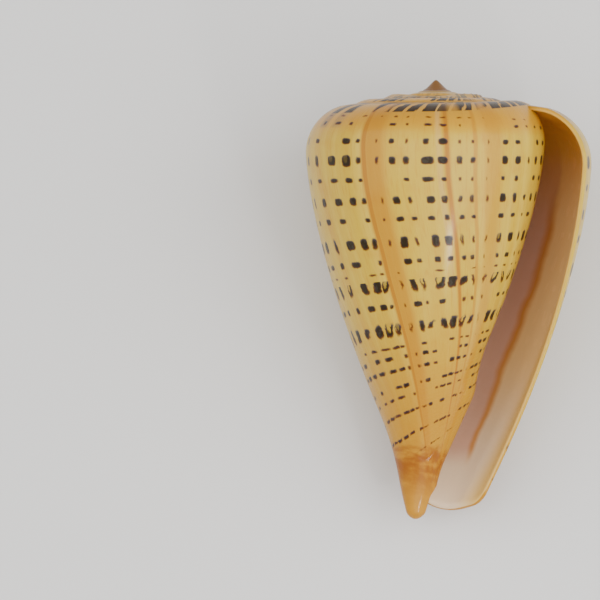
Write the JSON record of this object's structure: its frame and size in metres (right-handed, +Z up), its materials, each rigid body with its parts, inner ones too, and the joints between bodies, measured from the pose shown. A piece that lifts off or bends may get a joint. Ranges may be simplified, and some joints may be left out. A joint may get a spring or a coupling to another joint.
{
  "type": "cone seashell",
  "caption": "Heavy broad-shouldered cone seashell with a low stepped spire, a long narrow aperture and a pointed base, lying on its back.",
  "frame": {"origin": "on the surface the shell lies on, under the middle of its bounding box", "axes": "+Y from the pointed base towards the spire, +Z up with the aperture facing up, +X towards the outer lip"},
  "size_m": [0.0618, 0.092, 0.0569],
  "materials": {
    "shell": "glossy cream and yellow porcelain-like shell with rows of dark brown spots"
  },
  "bodies": {
    "root": {"cone_shell": "shell"}
  },
  "joints": []
}
